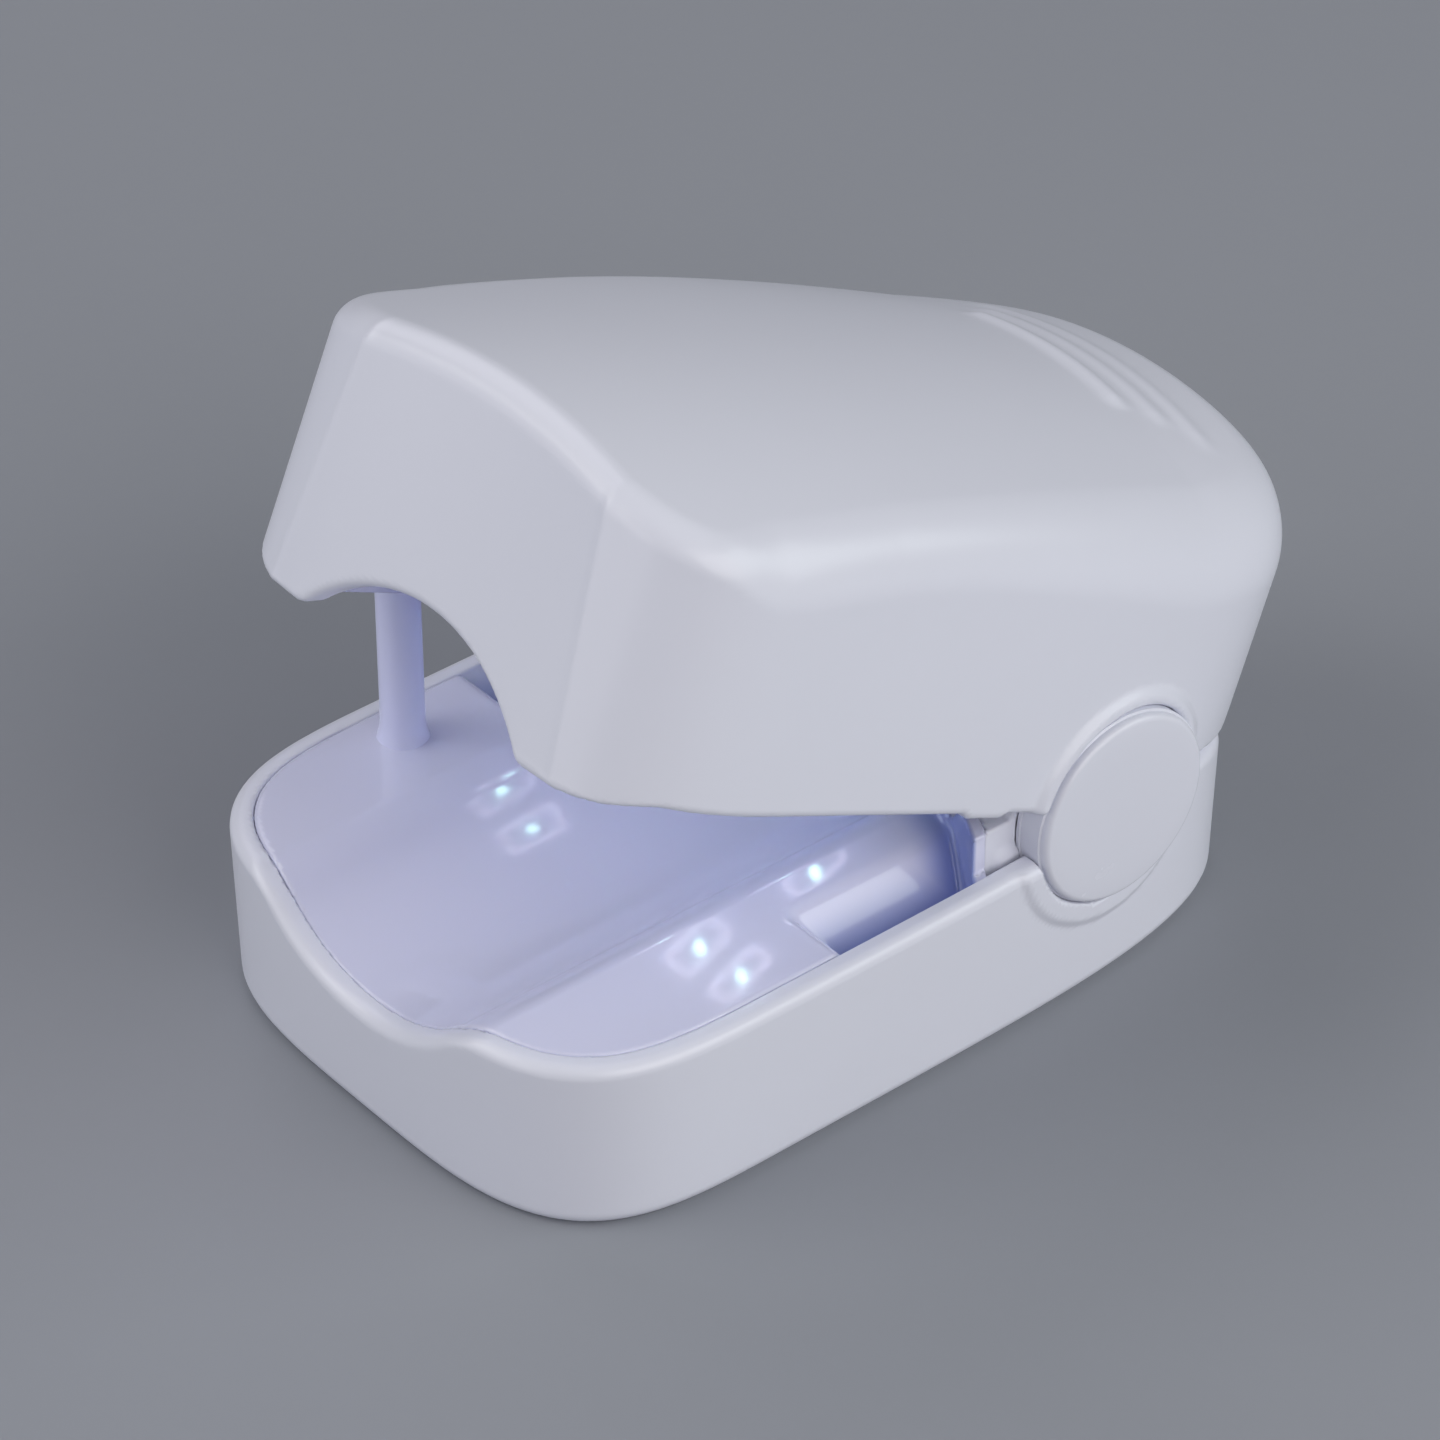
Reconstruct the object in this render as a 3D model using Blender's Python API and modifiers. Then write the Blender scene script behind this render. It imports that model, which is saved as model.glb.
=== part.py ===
"""Clip-on light sanitizer: a palm-sized clip whose hinged jaw holds lamps over a grooved finger deck.

Sizes are in millimetres and become metres through MM. +X is the right side, -Y the mouth and +Z up.
The origin is on the ground, under the widest place of the plan. The jaw is drawn level, about its
hinge, and then swung open by JAW_OPEN to its rest pose. Closed, it rests on the two feet of its rim.
"""
import math

import bmesh
import bpy
from mathutils import Matrix, Vector

MM = 0.001
GAP = 0.3                      # clearance between neighbouring pieces
PLAN_POINTS = 56               # points round each housing's plan

# plan of both housings, as a rounded oval
HALF_WIDTH = 21.0
FRONT_REACH = 18.8             # from the widest place to the mouth
REAR_REACH = 43.9
FRONT_POWER = 3.63             # how square the front corners are
REAR_POWER = 4.72

# lower housing
RIM_Z = 12.88
BASE_WALL = 1.6
BASE_DRAFT = 0.28

# finger groove, the same arc in the deck and in the jaw
GROOVE_RADIUS = 14.0
DECK_GROOVE_Z = 8.7            # lowest line of the deck's groove
JAW_GROOVE_Z = 17.2            # highest line of the jaw's groove, jaw closed
DECK_TOP_Z = 12.9
DECK_SHEET = 1.2
DECK_STEP_Y = 5.9              # the shoulders end here
WELL_Z = 9.4                   # floor beside the groove, behind the shoulders
STOP_RADIUS = 36.9             # curved wall that stops the fingertip
STOP_CENTRE_Y = -15.9
STOP_TOP_Z = 13.3

# hinge, along X
HINGE = Vector((0.0, 27.5, 14.14))
JAW_OPEN = math.radians(25.5)
CAP_RADIUS = 6.76
CUP_RADIUS = CAP_RADIUS + GAP
PIN_RADIUS = 1.5
BORE_RADIUS = PIN_RADIUS + GAP
REAR_SLOPE = math.radians(15.0)   # the base's rear rim falls away, so that the jaw can open
REAR_SLOPE_START = Vector((0.0, 34.3, RIM_Z))

# jaw housing, closed
JAW_RIM_Z = 13.2
JAW_WALL = 1.8
JAW_HALF_WIDTH = 20.75
JAW_FRONT_REACH = 18.9
JAW_FRONT_POWER = 4.1
JAW_DISH = 1.1                 # how far the middle of the front wall is hollowed
JAW_REAR_REACH = 45.1
JAW_ROUND = 3.0                # rounding between the walls and the crowned top
JAW_FOOT = 0.6                 # how far the rim dips at the mouth, to rest on the base when closed
JAW_FOOT_Y = -13.0             # the dip starts here
PANEL_Z = 13.5
PANEL_SHEET = 1.6
PANEL_BACK_Y = 15.2
PANEL_TONGUE = (9.4, 18.4)     # half width and rear end of the panel's narrow part

POST = Vector((-16.3, -2.2, 0.0))
POST_RADIUS = 1.5
POST_TOP_Z = 26.5

DECK_SCREWS = ((-14.8, -9.6), (14.8, -9.6), (-13.4, 11.0), (13.4, 11.0))
PANEL_SCREWS = ((-13.6, -9.0), (13.6, -9.0), (-13.6, 11.0), (13.6, 11.0))
SCREW_SHANK = 0.75
SCREW_HEAD = 1.8

LAMPS = ((-4.8, 5.8), (0.0, 5.8), (4.8, 5.8), (-2.6, 14.6), (2.6, 14.6))
WINDOW = (3.4, 5.6)            # each lamp's window, across and along the groove
LAMP_BOARD_Z = 19.6

PORT_Z = 6.1                   # centre height of the charging socket and the button
BUTTON_X = -9.5
BUTTON_RADIUS = 2.6
BOARD_Z = 3.3


def clear_scene():
    for old in list(bpy.data.objects):
        bpy.data.objects.remove(old, do_unlink=True)


def new_collection(name):
    group = bpy.data.collections.new(name)
    bpy.context.scene.collection.children.link(group)
    return group


def plastic(name, colour, roughness, metallic=0.0):
    """A Principled material of one colour."""
    material = bpy.data.materials.new(name)
    material.use_nodes = True
    shader = material.node_tree.nodes["Principled BSDF"]
    shader.inputs["Base Color"].default_value = (*colour, 1.0)
    shader.inputs["Roughness"].default_value = roughness
    shader.inputs["Metallic"].default_value = metallic
    material.diffuse_color = (*colour, 1.0)
    return material


clear_scene()
PARTS = new_collection("clip_on_light_sanitizer")
CUTTERS = new_collection("cutters")

WHITE = plastic("white_abs", (0.80, 0.81, 0.84), 0.42)
GLOSS = plastic("gloss_white_abs", (0.82, 0.83, 0.90), 0.12)
CLEAR = plastic("clear_lens", (0.86, 0.92, 0.98), 0.05)
STEEL = plastic("steel", (0.62, 0.63, 0.65), 0.28, 1.0)
BOARD = plastic("circuit_board", (0.03, 0.22, 0.12), 0.45)
CELL = plastic("battery_foil", (0.70, 0.71, 0.73), 0.35, 0.6)
LAMP = plastic("lamp_package", (0.95, 0.93, 0.70), 0.30)
BLACK = plastic("black_plastic", (0.03, 0.03, 0.035), 0.50)
WIRE_RED = plastic("red_insulation", (0.55, 0.03, 0.03), 0.45)
WIRE_GREY = plastic("grey_insulation", (0.30, 0.31, 0.33), 0.45)


def jaw_pivot():
    """The empty on the hinge axis that carries the jaw, swung open."""
    pivot = bpy.data.objects.new("jaw_pivot", None)
    PARTS.objects.link(pivot)
    pivot.location = HINGE * MM
    pivot.rotation_euler = (-JAW_OPEN, 0.0, 0.0)
    return pivot


JAW = jaw_pivot()


def place(name, bm, material=None, body=None, smooth=30.0):
    """Make an object from a bmesh drawn in millimetres. With no material it is a cutter or a union piece."""
    if body is JAW:
        bmesh.ops.translate(bm, verts=bm.verts, vec=-HINGE)
    bmesh.ops.scale(bm, verts=bm.verts, vec=(MM, MM, MM))
    bmesh.ops.recalc_face_normals(bm, faces=bm.faces)
    mesh = bpy.data.meshes.new(name)
    bm.to_mesh(mesh)
    bm.free()
    mesh.shade_smooth()
    mesh.set_sharp_from_angle(angle=math.radians(smooth))
    part = bpy.data.objects.new(name, mesh)
    part.parent = body
    if material:
        mesh.materials.append(material)
        PARTS.objects.link(part)
    else:
        CUTTERS.objects.link(part)
        part.hide_render = True
        part.display_type = "WIRE"
    return part


def combine(part, tool, operation):
    modifier = part.modifiers.new(tool.name, "BOOLEAN")
    modifier.operation = operation
    modifier.solver = "EXACT"
    modifier.object = tool
    return part


def cut(part, *tools):
    for tool in tools:
        combine(part, tool, "DIFFERENCE")
    return part


def join(part, *tools):
    for tool in tools:
        combine(part, tool, "UNION")
    return part


def block(name, low, high, material=None, body=None, bevel=0.0):
    """A box between two corners, with rounded edges where bevel is given."""
    low, high = Vector(low), Vector(high)
    bm = bmesh.new()
    bmesh.ops.create_cube(bm, size=1.0)
    bmesh.ops.scale(bm, verts=bm.verts, vec=high - low)
    bmesh.ops.translate(bm, verts=bm.verts, vec=(low + high) / 2)
    part = place(name, bm, material, body)
    if bevel:
        rounding = part.modifiers.new("bevel", "BEVEL")
        rounding.width = bevel * MM
        rounding.segments = 2
    return part


def add_cylinder(bm, centre, radius, length, axis, sides):
    """Add a capped cylinder, centred on centre, along one of the axes X, Y and Z."""
    turn = {"X": Matrix.Rotation(math.pi / 2, 4, "Y"), "Y": Matrix.Rotation(math.pi / 2, 4, "X"),
            "Z": Matrix.Identity(4)}[axis]
    bmesh.ops.create_cone(bm, cap_ends=True, segments=sides, radius1=radius, radius2=radius,
                          depth=length, matrix=Matrix.Translation(centre) @ turn)


def cylinder(name, centre, radius, length, axis="Z", material=None, body=None, sides=24, bevel=0.0):
    bm = bmesh.new()
    add_cylinder(bm, centre, radius, length, axis, sides)
    part = place(name, bm, material, body)
    if bevel:
        rounding = part.modifiers.new("bevel", "BEVEL")
        rounding.width = bevel * MM
        rounding.segments = 2
        rounding.limit_method = "ANGLE"
    return part


def turned(name, profile, centre, axis, material=None, body=None, sides=24):
    """Turn a profile of (radius, height) points, listed from its top down, about an axis of the part."""
    bm = bmesh.new()
    points = [bm.verts.new((radius, 0.0, height)) for radius, height in profile]
    edges = [bm.edges.new(pair) for pair in zip(points, points[1:] + points[:1])]
    bmesh.ops.spin(bm, geom=points + edges, cent=(0, 0, 0), axis=(0, 0, 1), angle=2 * math.pi,
                   steps=sides, use_merge=True)
    bmesh.ops.remove_doubles(bm, verts=bm.verts, dist=0.01)
    turn = {"X": Matrix.Rotation(math.pi / 2, 4, "Y"), "Y": Matrix.Rotation(-math.pi / 2, 4, "X"),
            "Z": Matrix.Identity(4)}[axis]
    bmesh.ops.transform(bm, verts=bm.verts, matrix=Matrix.Translation(centre) @ turn)
    return place(name, bm, material, body)


def prism(name, outline, low, high, material=None, body=None, axis="Z"):
    """Extrude a flat outline of two-number points between two places on an axis, Y or Z."""
    bm = bmesh.new()
    lift = (lambda u, v: (u, v, low)) if axis == "Z" else (lambda u, v: (u, low, v))
    face = bm.faces.new([bm.verts.new(lift(u, v)) for u, v in outline])
    raised = bmesh.ops.extrude_face_region(bm, geom=[face])
    moved = [item for item in raised["geom"] if isinstance(item, bmesh.types.BMVert)]
    step = (0, 0, high - low) if axis == "Z" else (0, high - low, 0)
    bmesh.ops.translate(bm, verts=moved, vec=step)
    return place(name, bm, material, body)


def oval(inset=0.0, half_width=HALF_WIDTH, front=FRONT_REACH, rear=REAR_REACH, front_power=FRONT_POWER,
         dish=0.0):
    """Plan points of a housing, anticlockwise from +X. dish hollows the middle of the front."""
    points = []
    for i in range(PLAN_POINTS):
        angle = 2 * math.pi * i / PLAN_POINTS
        across, along = math.cos(angle), math.sin(angle)
        power = REAR_POWER if along > 0 else front_power
        reach = rear if along > 0 else front
        x = math.copysign(abs(across) ** (2 / power), across) * (half_width - inset)
        y = math.copysign(abs(along) ** (2 / power), along) * (reach - inset)
        if y < 0:
            y += dish * max(0.0, 1 - (x / 13.0) ** 2)
        points.append((x, y))
    return points


def rounded_rectangle(width, height, radius, steps=4):
    """Outline of a rectangle with round corners, about its centre."""
    points = []
    for corner in range(4):
        turn = corner * math.pi / 2
        cx = (width / 2 - radius) * (1 if corner in (0, 3) else -1)
        cy = (height / 2 - radius) * (1 if corner in (0, 1) else -1)
        for step in range(steps + 1):
            angle = turn + step / steps * math.pi / 2
            points.append((cx + radius * math.cos(angle), cy + radius * math.sin(angle)))
    return points


def skin(rings):
    """A closed body skinned over rings of points whose sections change, with flat ends."""
    bm = bmesh.new()
    loops = [[bm.verts.new(point) for point in ring] for ring in rings]
    for low, high in zip(loops, loops[1:]):
        for i in range(len(low)):
            j = (i + 1) % len(low)
            bm.faces.new((low[i], low[j], high[j], high[i]))
    bm.faces.new(list(reversed(loops[0])))
    bm.faces.new(loops[-1])
    return bm


def tilted_block(name, corner, angle, length, height, body=None):
    """A block across the whole width whose front lower edge passes through corner, turned about X."""
    bm = bmesh.new()
    bmesh.ops.create_cube(bm, size=1.0)
    bmesh.ops.scale(bm, verts=bm.verts, vec=(60.0, length, abs(height)))
    bmesh.ops.translate(bm, verts=bm.verts, vec=(0.0, length / 2, height / 2))
    matrix = Matrix.Translation(corner) @ Matrix.Rotation(angle, 4, "X")
    bmesh.ops.transform(bm, verts=bm.verts, matrix=matrix)
    return place(name, bm, None, body)


def closed_place(point):
    """Where a point of the open jaw lies once the jaw is closed."""
    return HINGE + Matrix.Rotation(JAW_OPEN, 3, "X") @ (Vector(point) - HINGE)


def jaw_top(x, y):
    """Height of the closed jaw's crowned top."""
    ridge = 37.0 - 4.0 * (max(0.0, 36.0 - y) / 51.0) ** 2.2
    crown = 2.9 + 0.6 * max(0.0, y) / 30.0
    return ridge - crown * (x / 17.0) ** 2


# ------------------------------------------------------------------ base

def lower_housing():
    """Open tub with a finger dip in its front rim, cups for the hinge caps, knuckles and cheeks."""
    outside = [(1.3, 0.0), (0.55, 0.3), (BASE_DRAFT, 1.0), (0.0, RIM_Z)]
    inside = [(BASE_WALL, RIM_Z), (BASE_WALL + BASE_DRAFT, 2.6), (BASE_WALL + 1.0, BASE_WALL)]
    rings = [[(x, y, z) for x, y in oval(inset)] for inset, z in outside + inside]
    tub = place("lower_housing", skin(rings), WHITE)
    groove = Vector((0, -17.0, DECK_GROOVE_Z + GROOVE_RADIUS))
    cut(tub,
        cylinder("dip_cutter", groove, GROOVE_RADIUS, 16.0, "Y", sides=72),
        tilted_block("rear_rim_cutter", REAR_SLOPE_START, -REAR_SLOPE, 20.0, 12.0))
    for side in (-1, 1):
        tag = "left" if side < 0 else "right"
        knuckle = cylinder(f"base_knuckle_{tag}", HINGE + Vector((side * 16.7, 0, 0)), 6.2, 1.8, "X")
        low = (min(side * 15.9, side * 17.5), HINGE.y - 6.0, 1.0)
        high = (max(side * 15.9, side * 17.5), HINGE.y + 6.0, HINGE.z - 0.5)
        pedestal = block(f"base_pedestal_{tag}", low, high)
        cheek_low = (min(side * 16.2, side * 18.3), 16.0, 1.0)
        cheek_high = (max(side * 16.2, side * 18.3), 20.3, 16.2)
        cheek = block(f"cheek_{tag}", cheek_low, cheek_high)
        rib_low = (min(side * 17.0, side * 20.0), 16.4, 1.0)
        rib_high = (max(side * 17.0, side * 20.0), 19.9, 12.0)
        cup = cylinder(f"cup_cutter_{tag}", HINGE + Vector((side * 20.4, 0, 0)), CUP_RADIUS, 4.8, "X",
                       sides=48)
        cut(tub, cup)
        join(tub, knuckle, pedestal, cheek, block(f"cheek_rib_{tag}", rib_low, rib_high))
    bore = cylinder("base_bore_cutter", HINGE, BORE_RADIUS, 60.0, "X")
    port = prism("port_cutter", [(x, PORT_Z + z) for x, z in rounded_rectangle(9.6, 3.9, 1.9)],
                 38.0, 48.0, axis="Y")
    button = cylinder("button_cutter", (BUTTON_X, 43.0, PORT_Z), BUTTON_RADIUS + GAP, 10.0, "Y")
    cut(tub, bore, port, button)
    holes = bmesh.new()
    for x, y in DECK_SCREWS:
        add_cylinder(holes, (x, y, 1.0), SCREW_SHANK + GAP, 6.0, "Z", 16)
    recesses = bmesh.new()
    for x, y in DECK_SCREWS:
        add_cylinder(recesses, (x, y, 0.0), SCREW_HEAD + GAP, 2.0, "Z", 24)
    return cut(tub, place("screw_hole_cutter", holes), place("screw_recess_cutter", recesses))


def groove_profile(top, floor, sheet, half_width):
    """Cross-section of a sheet with flat shoulders and the finger groove, top and underside."""
    centre = floor + GROOVE_RADIUS

    def face(radius, shoulder):
        reach = math.asin(math.sqrt(radius ** 2 - (centre - shoulder) ** 2) / radius)
        arc = [reach * (1 - 2 * i / 20) for i in range(21)]
        return [(radius * math.sin(a), centre - radius * math.cos(a)) for a in arc]

    upper = [(half_width, top)] + face(GROOVE_RADIUS, top) + [(-half_width, top)]
    under = [(half_width, top - sheet)] + face(GROOVE_RADIUS + sheet, top - sheet)
    under.append((-half_width, top - sheet))
    return upper + list(reversed(under))


def deck_plan(name, low, high):
    """The space inside the tub's wall, as a solid to trim the deck with."""
    inset = BASE_WALL + BASE_DRAFT + GAP
    return prism(name, oval(inset), low, high)


def finger_deck():
    """Gloss plate with shoulders, finger groove, a lower well behind and a curved fingertip stop."""
    front = groove_profile(DECK_TOP_Z, DECK_GROOVE_Z, DECK_SHEET, 22.0)
    well = groove_profile(WELL_Z, DECK_GROOVE_Z, DECK_SHEET, 22.0)
    deck = prism("finger_deck", front, -20.0, DECK_STEP_Y, GLOSS, axis="Y")
    bulkhead_low = WELL_Z - DECK_SHEET
    bulkhead = prism("deck_step", groove_profile(DECK_TOP_Z - 0.02, DECK_GROOVE_Z, 4.6, 22.0),
                     DECK_STEP_Y - DECK_SHEET, DECK_STEP_Y - 0.02, axis="Y")
    cut(bulkhead, block("bulkhead_trim", (-30, 0, 0), (30, 10, bulkhead_low)))
    rear = prism("deck_well", well, DECK_STEP_Y - 0.5, 24.0, axis="Y")
    stop_centre = Vector((0, STOP_CENTRE_Y, (WELL_Z + STOP_TOP_Z) / 2 - 0.5))
    stop = cylinder("stop_wall", stop_centre, STOP_RADIUS + DECK_SHEET, STOP_TOP_Z - WELL_Z + 1.0,
                    sides=160)
    cut(stop, cylinder("stop_wall_inner", stop_centre, STOP_RADIUS, 20.0, sides=160),
        block("stop_wall_front", (-60, -60, 0), (60, 14.0, 40)))
    trim = cylinder("deck_rear_trim", (0, STOP_CENTRE_Y, 10), STOP_RADIUS + DECK_SHEET, 40.0, sides=160)
    join(deck, bulkhead, rear, stop)
    combine(deck, trim, "INTERSECT")
    combine(deck, deck_plan("deck_plan", 2.0, 30.0), "INTERSECT")
    for side in (-1, 1):
        low = (min(side * 15.9, side * 25.0), 15.7, 0.0)
        high = (max(side * 15.9, side * 25.0), 30.0, 30.0)
        cut(deck, block(f"deck_corner_trim_{side}", low, high))
    bosses = bmesh.new()
    pilots = bmesh.new()
    for x, y in DECK_SCREWS:
        top = (DECK_TOP_Z if y < DECK_STEP_Y else WELL_Z) - DECK_SHEET / 2
        foot = BASE_WALL + GAP
        add_cylinder(bosses, (x, y, (foot + top) / 2), 2.3, top - foot, "Z", 24)
        add_cylinder(pilots, (x, y, foot + 2.0), SCREW_SHANK + GAP, 6.0, "Z", 16)
    join(deck, place("deck_bosses", bosses))
    cut(deck, place("deck_pilots", pilots),
        cylinder("post_hole_cutter", POST + Vector((0, 0, 10)), POST_RADIUS + GAP, 20.0))
    return deck


def guide_post():
    """Upright post on the left shoulder, standing on the tub's floor, with a rounded top."""
    foot = BASE_WALL + GAP
    height = POST_TOP_Z - foot
    return cylinder("guide_post", POST + Vector((0, 0, foot + height / 2)), POST_RADIUS, height,
                    material=WHITE, bevel=0.5)


def hinge_pieces():
    """Pin, end caps and the two wave washers that give the hinge its friction."""
    cylinder("hinge_pin", HINGE, PIN_RADIUS, 37.2, "X", STEEL, sides=24, bevel=0.2)
    for side, tag in ((-1, "left"), (1, "right")):
        face = Vector((side * 19.9, 0, 0))
        cap = cylinder(f"hinge_cap_{tag}", HINGE + face, CAP_RADIUS, 1.9, "X", WHITE, sides=48, bevel=0.35)
        cap_hub = cylinder(f"cap_hub_{tag}", HINGE + Vector((side * 18.5, 0, 0)), 3.2, 1.2, "X")
        socket = cylinder(f"cap_socket_{tag}", HINGE + Vector((side * 18.0, 0, 0)), BORE_RADIUS, 2.0, "X")
        cut(join(cap, cap_hub), socket)
        ring = [(4.2, 0.2), (4.2, -0.2), (BORE_RADIUS, -0.2), (BORE_RADIUS, 0.2)]
        turned(f"wave_washer_{tag}", ring, HINGE + Vector((side * 15.3, 0, 0)), "X", STEEL)


def screws(name, places, head_z, length, material, body=None):
    """Identical pan-head screws, heads down, each one piece with a hexagon drive."""
    for number, (x, y) in enumerate(places, 1):
        head = cylinder(f"{name}_{number}", (x, y, head_z + 0.4), SCREW_HEAD, 0.8, "Z", material, body, 20)
        middle = head_z + 0.6 + length / 2
        join(head, cylinder(f"{name}_{number}_shank", (x, y, middle), SCREW_SHANK, length, "Z", None, body, 12))
        cut(head, cylinder(f"{name}_{number}_drive", (x, y, head_z), 0.8, 0.8, "Z", None, body, 6))


def base_electronics():
    """Battery, charging board, USB-C socket, switch and push button."""
    block("battery_cell", (-12.0, -13.0, 2.2), (12.0, 8.2, 6.2), CELL, bevel=0.6)
    board = block("charging_board", (-13.0, 22.0, BOARD_Z), (13.0, 38.4, BOARD_Z + 1.0), BOARD)
    holes = bmesh.new()
    for x in (-10.5, 10.5):
        add_cylinder(holes, (x, 24.5, BOARD_Z), SCREW_SHANK + GAP, 6.0, "Z", 16)
    cut(board, place("board_hole_cutter", holes))
    outer = [(x, PORT_Z + z) for x, z in rounded_rectangle(8.9, 3.2, 1.55)]
    inner = [(x, PORT_Z + z) for x, z in rounded_rectangle(8.3, 2.6, 1.25)]
    socket = prism("usb_socket", outer, 36.6, 43.6, STEEL, axis="Y")
    cut(socket, prism("socket_hollow", inner, 37.4, 45.0, axis="Y"))
    block("socket_tongue", (-3.3, 38.0, PORT_Z - 0.35), (3.3, 42.6, PORT_Z + 0.35), BLACK)
    switch_low = (BUTTON_X - 2.0, 35.6, BOARD_Z + 1.0 + GAP)
    switch = block("tact_switch", switch_low, (BUTTON_X + 2.0, 37.8, PORT_Z + 1.8), BLACK)
    join(switch, cylinder("switch_plunger", (BUTTON_X, 37.8, PORT_Z), 0.9, 1.0, "Y"))
    button = cylinder("power_button", (BUTTON_X, 42.1, PORT_Z), BUTTON_RADIUS, 4.2, "Y", WHITE, sides=32,
                      bevel=0.3)
    join(button, cylinder("button_flange", (BUTTON_X, 39.7, PORT_Z), 3.1, 0.8, "Y"))


def wire(name, route, radius, material, body=None):
    """A thin insulated wire along a smooth curve through its route's points."""
    offset = HINGE if body is JAW else Vector((0, 0, 0))
    points = [(Vector(point) - offset) * MM for point in route]
    path = []
    padded = [points[0]] + points + [points[-1]]
    for a, b, c, d in zip(padded, padded[1:], padded[2:], padded[3:]):
        for step in range(4):
            t = step / 4
            path.append(0.5 * (2 * b + (c - a) * t + (2 * a - 5 * b + 4 * c - d) * t ** 2
                               + (3 * b - a - 3 * c + d) * t ** 3))
    path.append(points[-1])
    curve = bpy.data.curves.new(name, "CURVE")
    curve.dimensions = "3D"
    curve.bevel_depth = radius * MM
    curve.bevel_resolution = 1
    curve.use_fill_caps = True
    line = curve.splines.new("POLY")
    line.points.add(len(path) - 1)
    for target, point in zip(line.points, path):
        target.co = (*point, 1.0)
    curve.materials.append(material)
    lead = bpy.data.objects.new(name, curve)
    lead.parent = body
    PARTS.objects.link(lead)
    return lead


def base_leads():
    """Battery leads, and the base's half of the lamp lead, which ends beside the hinge pin."""
    for name, x, material in (("battery_lead_red", -3.0, WIRE_RED), ("battery_lead_grey", 3.0, WIRE_GREY)):
        route = ((x, 8.6, 4.2), (x, 11.5, 3.8), (x * 1.2, 17.0, 3.6), (x * 1.3, 21.6, 3.8))
        wire(name, route, 0.5, material)
    wire("lamp_lead_base", ((4.0, 30.6, 4.9), (4.0, 30.9, 8.0), (4.0, 30.8, 11.0), (4.0, 30.5, 13.6)),
         0.6, WIRE_GREY)


# ------------------------------------------------------------------ jaw, drawn closed

def jaw_ring(inset, height, drop=None, scale=1.0):
    """One ring of the jaw's skin, at a height, or at a drop below the crowned top."""
    ring = []
    lean = 0.045 * (height - JAW_RIM_Z)
    back = JAW_REAR_REACH - 0.17 * max(0.0, height - 19.0)
    for x, y in oval(inset, JAW_HALF_WIDTH, JAW_FRONT_REACH, back, JAW_FRONT_POWER, JAW_DISH):
        x -= math.copysign(lean * min(1.0, max(0.0, 1 + y / JAW_FRONT_REACH)), x)
        x, y = x * scale, 12 + (y - 12) * scale
        ring.append((x, y, height if drop is None else jaw_top(x, y) - drop))
    return ring


def jaw_skin(wall):
    """Rings of one side of the jaw's shell, from the rim up to the crown, a wall thickness in."""
    rings = [[(x, y, z - JAW_FOOT * min(1.0, max(0.0, (JAW_FOOT_Y - y) / 4.0)))
              for x, y, z in jaw_ring(wall, JAW_RIM_Z)]]
    rings.append(jaw_ring(wall, 20.0))
    round_over = JAW_ROUND - wall
    for step in range(5):
        angle = step / 4 * math.pi / 2
        inset = wall + round_over * (1 - math.cos(angle))
        rings.append(jaw_ring(inset, 30.0, wall + round_over * (1 - math.sin(angle))))
    rings += [jaw_ring(JAW_ROUND, 30.0, wall, scale) for scale in (0.72, 0.42, 0.15)]
    return rings


def upper_housing():
    """Crowned shell with a finger arch in its front wall, arches round the caps, and two knuckles."""
    rings = list(reversed(jaw_skin(JAW_WALL))) + jaw_skin(0.0)
    shell = place("upper_housing", skin(rings), WHITE, JAW)
    arch = Vector((0, -17.0, JAW_GROOVE_Z - GROOVE_RADIUS))
    rear_angle = JAW_OPEN - REAR_SLOPE
    rear_corner = closed_place(REAR_SLOPE_START + Vector((0, 0, 0.35)))
    rear_corner -= Vector((0, math.cos(rear_angle), math.sin(rear_angle)))     # the cut starts inside the cup
    cut(shell,
        cylinder("arch_cutter", arch, GROOVE_RADIUS, 16.0, "Y", body=JAW, sides=72),
        tilted_block("jaw_rear_cutter", rear_corner, rear_angle, 20.0, -12.0, JAW))
    for side in (-1, 1):
        tag = "left" if side < 0 else "right"
        collar = cylinder(f"collar_cutter_{tag}", HINGE + Vector((side * 19.5, 0, 0)), CUP_RADIUS, 6.6,
                          "X", body=JAW, sides=48)
        cut(shell, collar)
        knuckle = cylinder(f"jaw_knuckle_{tag}", HINGE + Vector((side * 13.75, 0, 0)), 5.6, 2.1, "X",
                           body=JAW)
        low = (min(side * 12.8, side * 14.7), HINGE.y - 4.6, HINGE.z)
        high = (max(side * 12.8, side * 14.7), HINGE.y + 4.6, jaw_top(14.0, HINGE.y) - 0.9)
        join(shell, knuckle, block(f"jaw_web_{tag}", low, high, body=JAW))
    bosses = bmesh.new()
    pilots = bmesh.new()
    for x, y in PANEL_SCREWS:
        foot = PANEL_Z + PANEL_SHEET + GAP
        top = jaw_top(x, y) - 0.9
        add_cylinder(bosses, (x, y, (foot + top) / 2), 2.3, top - foot, "Z", 20)
        add_cylinder(pilots, (x, y, foot + 2.0), SCREW_SHANK + GAP, 6.0, "Z", 16)
    join(shell, place("panel_bosses", bosses, None, JAW))
    return cut(shell, place("panel_pilots", pilots, None, JAW),
               cylinder("jaw_bore_cutter", HINGE, BORE_RADIUS, 60.0, "X", body=JAW))


def groove_height(x):
    """Height of the closed jaw's groove at a place across it."""
    return JAW_GROOVE_Z - GROOVE_RADIUS + math.sqrt(GROOVE_RADIUS ** 2 - x ** 2)


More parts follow.
